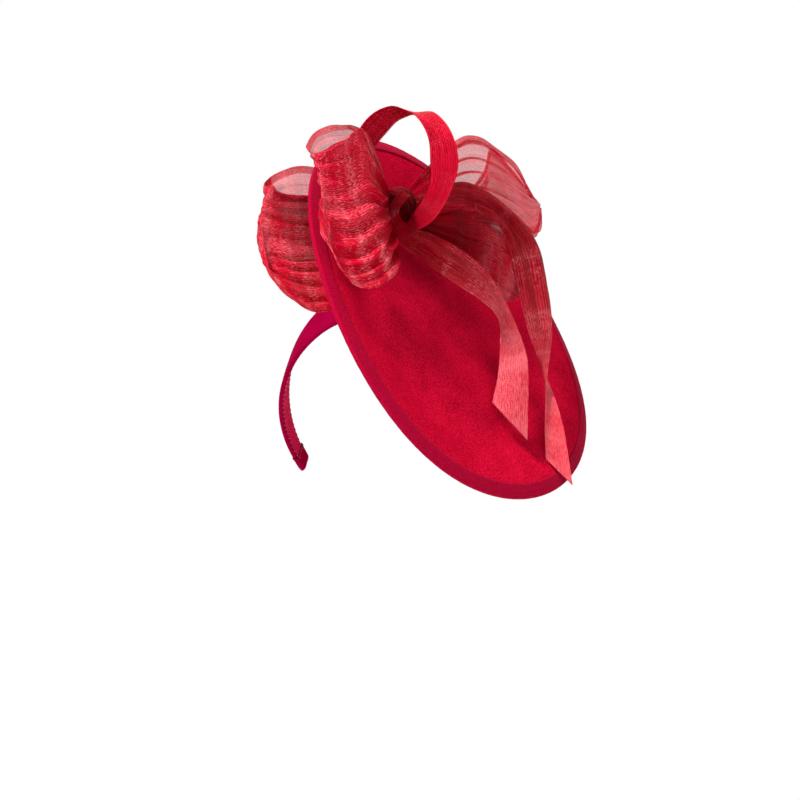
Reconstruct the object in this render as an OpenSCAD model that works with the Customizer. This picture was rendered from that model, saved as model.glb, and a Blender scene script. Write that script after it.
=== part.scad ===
// Saucer fascinator: a wired, bound felt plate leaning on the left of a satin-covered
// headband, with a gathered silk bow sewn on top. Millimetres.
// +Z is up as worn, the wearer faces -Y and their left is +X.
// The origin is the middle of the headband's inner face, at the crown of the head.

/* [Headband] */
// Half of the outside width across the arch at its widest level
band_half_w = 76; // [68:1:84]
// Outside radius of each side of the arch
side_r = 101; // [95:1:110]
// Height of each shoulder above the widest level, as an angle on the side arc
shoulder_deg = 48; // [42:1:54]
// How far each end runs below the widest level, as an angle on the side arc
tip_deg = 25; // [15:1:30]
// Width of the band over the crown
band_top_w = 38; // [30:1:44]
// Width of the band at its two ends
band_end_w = 15; // [12:1:22]
// Thickness of the springy core strip
core_t = 1.6; // [1.2:0.1:2.4]
// Thickness of the satin cover
cover_t = 0.5; // [0.3:0.1:0.8]
// Thickness of the ribbon that lines the inner face
lining_t = 0.6; // [0.4:0.1:0.9]
// How far the arch leans forward as worn
band_tilt = 26; // [15:1:32]
// Angle on the right side arc at which the band flexes
flex_right_deg = 48; // [30:1:48]
// Angle on the left side arc at which the band flexes, below the sewn plate
flex_left_deg = 15; // [5:1:20]
// Length of the end cap sewn over each end
end_cap_l = 11; // [8:1:16]

/* [Plate] */
// Diameter of the plate over its bound rim
plate_d = 254; // [230:2:280]
// Thickness of the felt
felt_t = 2.4; // [1.8:0.1:3.2]
// Sideways lean of the plate from the crown of the arch
plate_lean = 52.5; // [45:0.5:60]
// Width of the ribbon binding seen on each face
binding_w = 9; // [6:0.5:12]
// Thickness of the ribbon binding
binding_t = 0.5; // [0.3:0.1:0.8]
// Diameter of the rim wire
wire_d = 1.6; // [1:0.1:1.8]
// Length of the ferrule that joins the ends of the rim wire
ferrule_l = 16; // [10:1:24]

/* [Bow] */
// Thickness of the folded silk in the loops and tails
silk_t = 1.4; // [1:0.2:2]
// Radius of the wrapped knot
knot_r = 14; // [12:0.5:15]

/* [Hidden] */

satin = "#c30a4a";
felt = "#b00a22";
silk = "#d8344c";
steel = "#9a9ea3";
thread = "#7d0a18";

band_t = core_t + 2 * cover_t + lining_t;
centre_x = side_r - band_half_w;
crown_r = side_r - centre_x / cos(shoulder_deg);
crown_z = centre_x * tan(shoulder_deg);
arch_top = crown_z + crown_r;
arch_low = -side_r * sin(tip_deg);
flex_gap = 0.3;
gap_deg = flex_gap / 2 / side_r * 180 / PI;
arc_step = 2;
right_flex_t = flex_right_deg;
left_flex_t = 180 - flex_left_deg;
cap_deg = end_cap_l / side_r * 180 / PI;
cap_wall = 0.5;
core_inset = 0.5;
core_short_deg = 0.3;
overrun_deg = 1;
lining_inset = 2;

plate_at = [40.5, -16.4, 1.7];
plate_r = plate_d / 2;
edge_r = felt_t / 2;
flat_r = 62;
trough_r = 80;
ridge_r = 117;
flat_h = 1;
trough_h = -2.5;
ridge_h = 2.5;
roll_drop = 2.2;
rim_r = plate_r - edge_r - binding_t;
felt_r = rim_r - edge_r;

band_line_y = -plate_at[1];
pad_x = [14, 54];
pad_half_y = 14;
stitch_x = [22, 34, 46];
stitch_half_y = 17.4;
thread_d = 0.9;
stitch_low = -9.9;
knot_at = [-77, 4, 27];
base_r = 15;
base_top = 16;
anchor_at = [-76, 13];
anchor_r = 9;
anchor_low = -8.5;
rows_per_span = 6;
cells_across = 4;

// Placing: the band's own upright frame, and the plate's frame leaning on it

module in_band() { rotate([band_tilt, 0, 0]) translate([0, 0, band_t - arch_top]) children(); }

module in_plate() { rotate([band_tilt, 0, 0]) translate(plate_at) rotate([0, plate_lean, 0]) children(); }

// Headband: the arch is two side arcs and a crown arc that meet smoothly. A place on it is the
// angle t, from 0 at the widest level on the right, over 90 at the crown, to 180 on the left.

function arch_point(t, depth) =
    let (away = [-cos(t), sin(t)])
    t < shoulder_deg ? [centre_x, 0] + (side_r - depth) * away
    : t > 180 - shoulder_deg ? [-centre_x, 0] + (side_r - depth) * away
    : [0, crown_z] + (crown_r - depth) * away;

function arch_angles(t0, t1) = concat(
    [t0],
    [for (k = [floor(t0 / arc_step) + 1 : ceil(t1 / arc_step) - 1]) k * arc_step],
    [t1]
);

function reversed(list) = [for (k = [len(list) - 1 : -1 : 0]) list[k]];

module arch(depth_0, depth_1, t0, t1) {
    angles = arch_angles(t0, t1);
    outside = [for (t = angles) arch_point(t, depth_0)];
    inside = [for (t = angles) arch_point(t, depth_1)];
    polygon(concat(outside, reversed(inside)));
}

module taper(inset) {
    below = 12;
    slope = (band_top_w - band_end_w) / 2 / (arch_top - arch_low);
    top = band_top_w / 2 - inset;
    low = band_end_w / 2 - inset - slope * below;
    rotate([90, 0, 90]) linear_extrude(height = 4 * side_r, center = true)
        polygon([
            [-low, arch_low - below],
            [low, arch_low - below],
            [top, arch_top + 1],
            [-top, arch_top + 1]
        ]);
}

module layer(depth_0, depth_1, t0, t1, inset) {
    intersection() {
        rotate([90, 0, 0]) linear_extrude(height = 2 * band_top_w, center = true)
            arch(depth_0, depth_1, t0, t1);
        taper(inset);
    }
}

module core(t0, t1) {
    color(steel) in_band() layer(cover_t, cover_t + core_t, t0, t1, core_inset);
}

module cover(t0, t1, core_t0, core_t1) {
    color(satin) in_band() difference() {
        layer(0, core_t + 2 * cover_t, t0, t1, 0);
        layer(cover_t, cover_t + core_t, core_t0, core_t1, core_inset);
    }
}

module lining(t0, t1) {
    color(satin) in_band() layer(band_t - lining_t, band_t, t0, t1, lining_inset);
}

module end_cap() {
    end_t = tip_deg + cap_wall / side_r * 180 / PI;
    color(satin) in_band() difference() {
        layer(-cap_wall, band_t + cap_wall, -end_t, cap_deg - tip_deg, -cap_wall);
        layer(0, band_t, -tip_deg, cap_deg, 0);
    }
}

module band_core_crown() { core(right_flex_t + gap_deg, left_flex_t - gap_deg); }

module band_cover_crown() {
    cover(
        right_flex_t + gap_deg,
        left_flex_t - gap_deg,
        right_flex_t - overrun_deg,
        left_flex_t + overrun_deg
    );
}

module band_lining_crown() { lining(right_flex_t + gap_deg, left_flex_t - gap_deg); }

module band_core_right() { core(core_short_deg - tip_deg, right_flex_t - gap_deg); }

module band_cover_right() {
    cover(-tip_deg, right_flex_t - gap_deg, core_short_deg - tip_deg, right_flex_t + overrun_deg);
}

module band_lining_right() { lining(-tip_deg, right_flex_t - gap_deg); }

module end_cap_right() { end_cap(); }

module band_core_left() { core(left_flex_t + gap_deg, 180 + tip_deg - core_short_deg); }

module band_cover_left() {
    cover(
        left_flex_t + gap_deg,
        180 + tip_deg,
        left_flex_t - overrun_deg,
        180 + tip_deg - core_short_deg
    );
}

module band_lining_left() { lining(left_flex_t + gap_deg, 180 + tip_deg); }

module end_cap_left() { mirror([1, 0, 0]) end_cap(); }

// Plate: a disc of felt with a flat middle, a shallow trough, a raised ring and a rolled rim

function ease(x) = (1 - cos(180 * x)) / 2;

function felt_top(r) =
    r < flat_r ? flat_h
    : r < trough_r ? flat_h + (trough_h - flat_h) * ease((r - flat_r) / (trough_r - flat_r))
    : r < ridge_r ? trough_h + (ridge_h - trough_h) * ease((r - trough_r) / (ridge_r - trough_r))
    : ridge_h - roll_drop * pow((r - ridge_r) / (plate_r - ridge_r), 2);

function radii(from, to) = [for (k = [0 : 8]) from + (to - from) * k / 8];

felt_radii = concat([0], radii(flat_r, trough_r), radii(trough_r + 2, ridge_r));
rim_radii = radii(plate_r - binding_w, rim_r);

function felt_line(at, drop) = [for (r = at) [r, felt_top(r) - drop]];

function rim_arc(r) = [
    for (a = [80 : -10 : -80]) [rim_r, felt_top(rim_r) - edge_r] + r * [cos(a), sin(a)]
];

module felt_section() {
    all = concat(felt_radii, rim_radii);
    intersection() {
        polygon(concat(felt_line(all, 0), reversed(felt_line(all, felt_t))));
        translate([0, -20]) square([felt_r, 40]);
    }
}

function fold(swell) = concat(
    felt_line(rim_radii, -swell),
    rim_arc(edge_r + swell),
    reversed(felt_line(rim_radii, felt_t + swell))
);

module felt_plate() { color(felt) in_plate() rotate_extrude($fn = 180) felt_section(); }

module rim_binding() {
    color(felt) in_plate() rotate_extrude($fn = 180)
        polygon(concat(fold(binding_t), reversed(fold(0))));
}

module wire_ring(r, hole_r, sweep) {
    rotate_extrude(angle = sweep, $fn = 180) translate([rim_r, felt_top(rim_r) - edge_r])
        difference() {
            circle(r = r, $fn = 32);
            if (hole_r > 0) circle(r = hole_r, $fn = 32);
        }
}

module rim_wire() { color(steel) in_plate() wire_ring(wire_d / 2, 0, 360); }

module wire_ferrule() {
    sweep = ferrule_l / rim_r * 180 / PI;
    color("#c9a24a") in_plate() rotate([0, 0, 90 - sweep / 2]) wire_ring(edge_r - 0.1, wire_d / 2, sweep);
}

// Fixing: a felt pad shaped between the flat of the plate and the side arc of the band

module mount_pad() {
    underside = flat_h - felt_t;
    color(felt) difference() {
        in_plate() translate([pad_x[0], band_line_y - pad_half_y, underside - 12])
            cube([pad_x[1] - pad_x[0], 2 * pad_half_y, 12]);
        in_band() rotate([90, 0, 0]) linear_extrude(height = 4 * band_top_w, center = true)
            translate([-centre_x, 0]) circle(r = side_r, $fn = 180);
    }
}

module tack_loop(x) {
    top = flat_h - felt_t / 2;
    low = stitch_low - pow(x - stitch_x[1], 2) / 2 / side_r;
    for (side = [-1, 1])
        translate([x, band_line_y + side * stitch_half_y, low])
            cylinder(h = top - low, d = thread_d, $fn = 16);
    for (z = [low, top])
        translate([x, band_line_y - stitch_half_y, z]) rotate([-90, 0, 0])
            cylinder(h = 2 * stitch_half_y, d = thread_d, $fn = 16);
}

module tack_threads() { color(thread) in_plate() for (x = stitch_x) tack_loop(x); }

// Bow: a base on the plate, a wrapped knot, and gathered strips of silk that start at the knot

module bow_base() {
    below = [[rim_r, -30], [0, -30]];
    color(felt) in_plate() difference() {
        translate([knot_at[0], knot_at[1], -8]) cylinder(h = base_top + 8, r = base_r, $fn = 96);
        rotate_extrude($fn = 180) polygon(concat(felt_line(concat(felt_radii, rim_radii), 0), below));
        translate(knot_at) sphere(r = knot_r, $fn = 72);
    }
}

module rear_anchor() {
    above = [[0, 30], [rim_r, 30]];
    underside = felt_line(concat(felt_radii, rim_radii), felt_t);
    color(felt) in_plate() difference() {
        translate([anchor_at[0], anchor_at[1], anchor_low]) cylinder(h = 12, r = anchor_r, $fn = 72);
        rotate_extrude($fn = 180) polygon(concat(above, reversed(underside)));
    }
}

module bow_knot() { color(silk) in_plate() translate(knot_at) sphere(r = knot_r, $fn = 72); }

function smooth(a, b, c, d, t) =
    0.5 * (2 * b + (c - a) * t + (2 * a - 5 * b + 4 * c - d) * t * t + (3 * b - a - 3 * c + d) * t * t * t);

function along(points, s) =
    let (last = len(points) - 1, k = min(floor(s), last - 1))
    smooth(points[max(k - 1, 0)], points[k], points[k + 1], points[min(k + 2, last)], s - k);

function unit(v) = v / norm(v);

// Each strip is a list of sections, each with the places of the ribbon's two edges

module strip(sections, bulge) {
    edge_a = [for (s = sections) s[0]];
    edge_b = [for (s = sections) s[1]];
    spans = len(sections) - 1;
    rows = spans * rows_per_span;
    ring = 2 * (cells_across + 1);
    points = [
        for (k = [0 : rows])
            let (
                s = k / rows_per_span,
                a = along(edge_a, s),
                b = along(edge_b, s),
                s0 = max(s - 0.05, 0),
                s1 = min(s + 0.05, spans),
                ahead_a = along(edge_a, s1) - along(edge_a, s0),
                ahead_b = along(edge_b, s1) - along(edge_b, s0),
                out = unit(cross(b - a, ahead_a + ahead_b)),
                crown = bulge * sin(180 * k / rows)
            )
            for (j = [0 : ring - 1])
                let (
                    top = j <= cells_across,
                    w = (top ? j : ring - 1 - j) / cells_across
                )
                a + (b - a) * w + out * (crown * 4 * w * (1 - w) + (top ? silk_t : -silk_t) / 2)
    ];
    sides = [
        for (k = [0 : rows - 1]) for (j = [0 : ring - 1])
            let (
                p = k * ring + j,
                q = k * ring + (j + 1) % ring
            )
            each [[p, p + ring, q], [q, p + ring, q + ring]]
    ];
    first = [
        for (j = [0 : cells_across - 1])
            each [[j, j + 1, ring - 2 - j], [j, ring - 2 - j, ring - 1 - j]]
    ];
    last = [for (f = first) [for (i = [2 : -1 : 0]) f[i] + rows * ring]];
    polyhedron(points = points, faces = concat(sides, first, last));
}

loop_front_path = [
    [[-93, 1, 31], [-74, -18, 23]],
    [[-118, -4, 45], [-64, -44, 25]],
    [[-136, -10, 53], [-65, -60, 23]],
    [[-142, -26, 50], [-73, -74, 17]],
    [[-147, -37, 45], [-86, -81, 14]],
    [[-151, -44, 39], [-103, -81, 18]],
    [[-153, -38, 33], [-119, -72, 19]],
    [[-153, -25, 28], [-123, -59, 19]],
    [[-151, -11, 30], [-118, -47, 20]],
    [[-142, 4, 35], [-107, -35, 21]],
    [[-131, 14, 38], [-94, -23, 22]],
    [[-116, 16, 37], [-85, -13, 23]],
    [[-91, 8, 28], [-75, -9, 21]],
];

loop_rear_path = [
    [[-82, 14, -7], [-74, 6, -9]],
    [[-108, 4, -6], [-57, -30, -24]],
    [[-122, -9, -8], [-66, -47, -33]],
    [[-134, -21, -10], [-80, -58, -35]],
    [[-144, -26, -11], [-102, -59, -36]],
    [[-143, -15, -19], [-108, -45, -42]],
    [[-140, 1, -21], [-94, -34, -48]],
    [[-134, 14, -18], [-76, -30, -51]],
    [[-125, 24, -12], [-58, -23, -48]],
    [[-107, 29, -7], [-56, -11, -33]],
    [[-80, 22, -9], [-70, 14, -14]],
];

loop_fan_path = [
    [[-76, 16, 28], [-68, 12, 25]],
    [[-73, 40, 40], [-49, 34, 30]],
    [[-68, 64, 55], [-33, 52, 35]],
    [[-59, 78, 59], [-16, 64, 39]],
    [[-43, 87, 59], [5, 74, 41]],
    [[-21, 94, 58], [24, 84, 38]],
    [[2, 94, 50], [19, 97, 45]],
    [[-3, 102, 48], [28, 97, 36]],
    [[-22, 109, 47], [19, 94, 27]],
    [[-35, 105, 47], [5, 85, 24]],
    [[-31, 88, 41], [-9, 74, 23]],
    [[-38, 64, 33], [-26, 61, 24]],
    [[-70, 31, 19], [-61, 25, 18]],
    [[-76, 15, 19], [-69, 12, 17]],
];

flap_low_path = [
    [[-72, 13, 25], [-66, 6, 20]],
    [[-67, 17, 25], [-56, 8, 18]],
    [[-53, 24, 29], [-39, 14, 19]],
    [[-34, 44, 36], [-10, 22, 16]],
    [[-11, 64, 40], [17, 33, 14]],
    [[29, 46, 27], [30, 36, 20]],
];

ribbon_ring_path = [
    [[-79, 11, 17], [-72, 14, 17]],
    [[-106, 28, 17], [-96, 35, 18]],
    [[-119, 33, 25], [-103, 39, 22]],
    [[-124, 34, 38], [-106, 42, 34]],
    [[-123, 32, 54], [-109, 41, 47]],
    [[-117, 24, 65], [-107, 39, 59]],
    [[-109, 16, 71], [-103, 32, 73]],
    [[-100, 8, 71], [-92, 21, 79]],
    [[-91, 1, 66], [-79, 7, 77]],
    [[-81, -4, 58], [-70, -3, 67]],
    [[-73, -5, 43], [-62, -8, 48]],
    [[-68, 1, 27], [-60, -6, 31]],
    [[-66, 8, 14], [-61, 2, 16]],
];

tail_front_path = [
    [[-86, 0, 37], [-79, 1, 39]],
    [[-86, -20, 30], [-80, -15, 34]],
    [[-73, -26, 26], [-67, -14, 33]],
    [[-50, -22, 26], [-53, -5, 35]],
    [[-25, -16, 27], [-31, 2, 38]],
    [[-1, -11, 30], [-7, 9, 36]],
    [[16, -9, 29], [15, 6, 33]],
    [[30, -15, 20], [40, -5, 28]],
    [[39, -30, 13], [53, -20, 24]],
    [[45, -46, 6], [76, -53, 9]],
];

tail_side_path = [
    [[-74, 8, 38], [-66, 8, 36]],
    [[-57, 34, 50], [-46, 31, 42]],
    [[-44, 45, 53], [-30, 40, 44]],
    [[-23, 53, 54], [-17, 44, 46]],
    [[1, 59, 52], [0, 47, 41]],
    [[24, 60, 46], [15, 48, 33]],
    [[48, 47, 35], [33, 34, 26]],
    [[60, 30, 30], [51, 25, 19]],
    [[65, 13, 27], [62, 16, 18]],
    [[69, -3, 24], [73, 7, 16]],
    [[75, -15, 19], [82, -7, 18]],
    [[86, -31, 11], [96, -28, 18]],
    [[97, -46, 5], [116, -59, 13]],
];

module loop_front() { color(silk) in_plate() strip(loop_front_path, 6); }

module loop_rear() { color(silk) in_plate() strip(loop_rear_path, 9); }

module loop_fan() { color(silk) in_plate() strip(loop_fan_path, 3); }

module flap_low() { color(silk) in_plate() strip(flap_low_path, 3); }

module ribbon_ring() { color(silk) in_plate() strip(ribbon_ring_path, 0); }

module tail_front() { color(silk) in_plate() strip(tail_front_path, 2); }

module tail_side() { color(silk) in_plate() strip(tail_side_path, 2); }

felt_plate();
rim_binding();
rim_wire();
wire_ferrule();
mount_pad();
tack_threads();
bow_base();
bow_knot();
rear_anchor();
loop_front();
loop_rear();
loop_fan();
flap_low();
ribbon_ring();
tail_front();
tail_side();
band_core_crown();
band_cover_crown();
band_lining_crown();
band_core_right();
band_cover_right();
band_lining_right();
end_cap_right();
band_core_left();
band_cover_left();
band_lining_left();
end_cap_left();
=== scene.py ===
"""Looks of the saucer fascinator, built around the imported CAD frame. Metres, +Z up as worn."""

import math
import random

import bpy
import numpy as np
from mathutils import Matrix, Vector


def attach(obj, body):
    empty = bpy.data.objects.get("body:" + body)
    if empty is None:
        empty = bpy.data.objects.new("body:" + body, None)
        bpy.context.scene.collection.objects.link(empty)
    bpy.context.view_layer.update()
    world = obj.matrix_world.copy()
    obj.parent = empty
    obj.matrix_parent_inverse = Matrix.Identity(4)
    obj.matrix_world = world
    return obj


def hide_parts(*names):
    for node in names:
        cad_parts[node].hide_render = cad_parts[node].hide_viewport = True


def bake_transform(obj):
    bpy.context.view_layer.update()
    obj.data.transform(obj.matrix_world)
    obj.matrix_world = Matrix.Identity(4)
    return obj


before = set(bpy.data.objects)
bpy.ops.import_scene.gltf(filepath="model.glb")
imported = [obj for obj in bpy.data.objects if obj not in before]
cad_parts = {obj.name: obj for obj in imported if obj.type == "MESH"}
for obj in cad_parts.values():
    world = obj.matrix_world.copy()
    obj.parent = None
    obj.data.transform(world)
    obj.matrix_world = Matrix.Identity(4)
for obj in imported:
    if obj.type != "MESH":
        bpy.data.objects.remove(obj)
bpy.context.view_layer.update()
scene = bpy.context.scene

MM = 0.001
BAND_TILT = math.radians(26)
PLATE_LEAN = math.radians(52.5)
PLATE_AT = (0.0405, -0.0164, 0.0017)

# The headband's arch, in millimetres: two side arcs and a crown arc, as in the CAD model
SIDE_R = 101
HALF_W = 76
SHOULDER = 48
TIP = 25
TOP_W = 38
END_W = 15
COVER_DEPTH = 2.6
BAND_T = 3.2
BAND_MID = BAND_T / 2
LINING_INSET = 2
COVER_SEAM = 140
CENTRE_X = SIDE_R - HALF_W
CROWN_R = SIDE_R - CENTRE_X / math.cos(math.radians(SHOULDER))
CROWN_Z = CENTRE_X * math.tan(math.radians(SHOULDER))
ARCH_TOP = CROWN_Z + CROWN_R
ARCH_LOW = -SIDE_R * math.sin(math.radians(TIP))

# The plate, in millimetres: a flat dish, a shallow trough round it, a raised ring and the rim
PLATE_R = 127
DISH_R, DISH_H = 62, 1
TROUGH_R, TROUGH_H = 80, -2.5
RING_R, RING_H = 117, 2.5
RIM_DROP = 2.2
FELT_T = 2.4
BINDING_T = 0.5
BINDING_W = 9
EDGE_R = FELT_T / 2
RIM_R = PLATE_R - EDGE_R - BINDING_T

# What is fixed to the plate, in its frame
PAD_X = (14, 54)
PAD_Y = 16.4
KNOT_AT = np.array([-77.0, 4.0, 27.0])
ANCHOR_AT = (-76, 13)

IN_BAND = Matrix.Rotation(BAND_TILT, 4, "X") @ Matrix.Translation((0, 0, (BAND_T - ARCH_TOP) * MM))
IN_PLATE = (
    Matrix.Rotation(BAND_TILT, 4, "X")
    @ Matrix.Translation(PLATE_AT)
    @ Matrix.Rotation(PLATE_LEAN, 4, "Y")
)


# Places and numbers


def place(matrix, points):
    """Points in millimetres in a local frame, as rows of metres in the shared frame."""
    m = np.array(matrix)
    return (np.asarray(points, float).reshape(-1, 3) * MM) @ m[:3, :3].T + m[:3, 3]


def unit(v):
    return v / np.maximum(np.linalg.norm(v, axis=-1, keepdims=True), 1e-12)


def full_turn(count):
    """Evenly spaced angles round a closed ring."""
    return np.linspace(0, 2 * np.pi, count, endpoint=False)


def ease(x):
    x = np.clip(x, 0, 1)
    return (1 - np.cos(np.pi * x)) / 2


def lengths_along(points):
    """How far along a line of points each one lies."""
    steps = np.linalg.norm(np.diff(np.asarray(points), axis=0), axis=1)
    return np.concatenate([[0], np.cumsum(steps)])


def smooth_path(points, s):
    """A Catmull-Rom curve through the points, where s counts spans."""
    points = np.asarray(points, float)
    last = len(points) - 1
    k = np.minimum(np.floor(s).astype(int), last - 1)
    t = (s - k)[:, None]
    a, b = points[np.maximum(k - 1, 0)], points[k]
    c, d = points[k + 1], points[np.minimum(k + 2, last)]
    squared, cubed = 2 * a - 5 * b + 4 * c - d, 3 * b - a - 3 * c + d
    return 0.5 * (2 * b + (c - a) * t + squared * t**2 + cubed * t**3)


def ripple(rows, cols, cells_u, cells_w, seed):
    """Smooth noise from -1 to 1 on a grid, with cells_u by cells_w bumps."""
    rng = np.random.RandomState(seed)
    table = rng.uniform(-1, 1, (cells_u + 2, cells_w + 2))
    u = np.linspace(0, cells_u, rows)
    w = np.linspace(0, cells_w, cols)
    i, j = np.floor(u).astype(int), np.floor(w).astype(int)
    fu, fw = ease(u - i)[:, None], ease(w - j)[None, :]
    low = table[np.ix_(i, j)] * (1 - fu) + table[np.ix_(i + 1, j)] * fu
    high = table[np.ix_(i, j + 1)] * (1 - fu) + table[np.ix_(i + 1, j + 1)] * fu
    return low * (1 - fw) + high * fw


# Meshes

NO_TUBE_RUNS_THIS_WAY = (0.13, 0.37, 0.92)


def mesh_object(name, verts, faces, material, uvs=None):
    mesh = bpy.data.meshes.new(name)
    mesh.from_pydata([tuple(v) for v in verts], [], [tuple(f) for f in faces])
    mesh.validate()
    if uvs is not None:
        layer = mesh.uv_layers.new(name="cloth")
        index = np.zeros(len(mesh.loops), int)
        mesh.loops.foreach_get("vertex_index", index)
        layer.data.foreach_set("uv", np.reshape(uvs, (-1, 2))[index].ravel())
    mesh.polygons.foreach_set("use_smooth", [True] * len(mesh.polygons))
    mesh.materials.append(material)
    made = bpy.data.objects.new(name, mesh)
    scene.collection.objects.link(made)
    return made


def grid_faces(rows, cols, close_rows=False, close_cols=False, start=0):
    faces = []
    for i in range(rows if close_rows else rows - 1):
        row, next_row = start + i * cols, start + (i + 1) % rows * cols
        for j in range(cols if close_cols else cols - 1):
            j2 = (j + 1) % cols
            faces.append((row + j, row + j2, next_row + j2, next_row + j))
    return faces


def capped_faces(rows, cols, start=0, inward=False):
    """A grid closed round its columns, with one flat face over each end."""
    first = [start + k for k in range(cols)]
    last = [start + (rows - 1) * cols + k for k in range(cols)]
    ends = [first[::-1], last] if inward else [first, last[::-1]]
    return grid_faces(rows, cols, close_cols=True, start=start) + [tuple(end) for end in ends]


def tube_parts(points, radius, sides=6, start=0):
    """Vertices and faces of a closed tube along the points, with flat ends."""
    points = np.asarray(points, float)
    ahead = unit(np.gradient(points, axis=0))
    side = np.cross(ahead[0], NO_TUBE_RUNS_THIS_WAY)
    verts = []
    for p, a in zip(points, ahead):
        side = unit(side - a * np.dot(side, a))
        other = np.cross(a, side)
        for k in range(sides):
            turn = 2 * math.pi * k / sides
            verts.append(p + radius * (math.cos(turn) * side + math.sin(turn) * other))
    return verts, capped_faces(len(points), sides, start)


def tubes_object(name, runs, radius, material, sides=6):
    """Tubes along several lines in metres, with their radius in millimetres."""
    verts, faces = [], []
    for points in runs:
        v, f = tube_parts(points, radius * MM, sides, len(verts))
        verts += v
        faces += f
    return mesh_object(name, verts, faces, material)


# Materials

# How far apart the wave texture's crests are when its scale is 1
WAVE_AT_SCALE_1 = 2 * math.pi / 20
WHITE = (1, 1, 1, 1)


class Nodes:
    """A node tree, with short calls for what the materials share."""

    def __init__(self, tree):
        self.tree = tree

    def add(self, kind, sockets=None, **settings):
        """A new node with those settings, where each socket is given a value or linked to an output."""
        node = self.tree.nodes.new(kind)
        for key, value in settings.items():
            setattr(node, key, value)
        for key, value in (sockets or {}).items():
            self.feed(value, node.inputs[key])
        return node

    def link(self, a, b):
        self.tree.links.new(a, b)

    def feed(self, value, socket):
        if isinstance(value, bpy.types.NodeSocket):
            self.link(value, socket)
        else:
            socket.default_value = value

    def noise(self, at, scale, detail=2.0, rough=0.5):
        sockets = {"Vector": at, "Scale": scale, "Detail": detail, "Roughness": rough}
        return self.add("ShaderNodeTexNoise", sockets).outputs["Fac"]

    def bands(self, at, pitch, axis="X", distort=0.0):
        """Waves with one crest every pitch, in the units of the place."""
        sockets = {"Vector": at, "Scale": WAVE_AT_SCALE_1 / pitch, "Distortion": distort}
        node = self.add("ShaderNodeTexWave", sockets, wave_type="BANDS", bands_direction=axis)
        return node.outputs["Fac"]

    def span(self, value, low, high, to_low=0.0, to_high=1.0):
        """The value stretched from one range to another, and held inside it."""
        sockets = {"Value": value, "From Min": low, "From Max": high, "To Min": to_low, "To Max": to_high}
        return self.add("ShaderNodeMapRange", sockets).outputs["Result"]

    def maths(self, operation, a, b=0.0):
        return self.add("ShaderNodeMath", {0: a, 1: b}, operation=operation).outputs[0]

    def total(self, first, *others):
        for other in others:
            first = self.maths("ADD", first, other)
        return first

    def scaled(self, value, factor):
        return self.maths("MULTIPLY", value, factor)

    def colours(self, value, dark, light):
        ramp = self.add("ShaderNodeValToRGB", {"Fac": value})
        ramp.color_ramp.elements[0].color = (*dark, 1)
        ramp.color_ramp.elements[1].color = (*light, 1)
        return ramp.outputs["Color"]

    def bump(self, height, strength, distance):
        sockets = {"Height": height, "Strength": strength, "Distance": distance}
        return self.add("ShaderNodeBump", sockets).outputs["Normal"]

    def mixed(self, share, first, second):
        """The first shader, covered by the second where the share is high."""
        return self.add("ShaderNodeMixShader", {0: share, 1: first, 2: second}).outputs[0]

    def shown_white(self, lit, kind):
        """A shader that the camera sees as plain white, while everything else sees the lit one."""
        from_camera = self.add("ShaderNodeLightPath").outputs["Is Camera Ray"]
        white = self.add(kind, {"Color": WHITE, "Strength": 1.0})
        return self.mixed(from_camera, lit, white.outputs[0])


class Shader(Nodes):
    """A material's nodes, around one Principled shader."""

    def __init__(self, name):
        self.material = bpy.data.materials.new(name)
        self.material.use_nodes = True
        super().__init__(self.material.node_tree)
        self.tree.nodes.clear()
        self.out = self.add("ShaderNodeOutputMaterial")
        self.main = self.add("ShaderNodeBsdfPrincipled")
        self.link(self.main.outputs[0], self.out.inputs["Surface"])

    def set(self, **values):
        for key, value in values.items():
            self.feed(value, self.main.inputs[key.replace("_", " ")])

    def place_of(self, uv=False, scale=(1, 1, 1)):
        source = self.add("ShaderNodeTexCoord").outputs["UV" if uv else "Object"]
        return self.add("ShaderNodeMapping", {"Vector": source, "Scale": scale}).outputs["Vector"]

    def paint(self, value, dark, light):
        self.set(Base_Color=self.colours(value, dark, light))

    def relief(self, height, strength, distance):
        self.set(Normal=self.bump(height, strength, distance))


def felt_material(name, dark, light):
    s = Shader(name)
    speck = s.noise(s.place_of(), 1150, 4, 0.85)
    cloud = s.noise(s.place_of(), 45, 2)
    mix = s.total(s.span(speck, 0.38, 0.64), s.span(cloud, 0.35, 0.65, -0.08, 0.08))
    s.paint(mix, dark, light)
    s.relief(s.noise(s.place_of(scale=(1, 1.6, 1)), 900, 4, 0.7), 0.4, 0.4 * MM)
    s.set(Roughness=0.95, Sheen_Weight=0.12, Sheen_Roughness=0.5, Sheen_Tint=(1, 0.0, 0.05, 1))
    s.set(Specular_IOR_Level=0.0, Specular_Tint=(1, 0.0, 0.05, 1))
    return s.material


def ribbon_material(name, dark, light, ribs_per_mm):
    """Ribbed ribbon: ribs run across it, and its length lies along U in millimetres."""
    s = Shader(name)
    rib = s.bands(s.place_of(uv=True), 1 / ribs_per_mm, "X")
    speck = s.noise(s.place_of(), 1300, 3, 0.7)
    mix = s.total(s.span(speck, 0.3, 0.7, 0.0, 0.7), s.span(rib, 0, 1, 0, 0.3))
    s.paint(mix, dark, light)
    s.relief(s.total(rib, speck), 0.4, 0.3 * MM)
    s.set(Roughness=0.85, Sheen_Weight=0.1, Sheen_Roughness=0.4, Sheen_Tint=(1, 0.02, 0.1, 1))
    s.set(Specular_IOR_Level=0.03, Specular_Tint=(1, 0.1, 0.2, 1))
    return s.material


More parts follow.
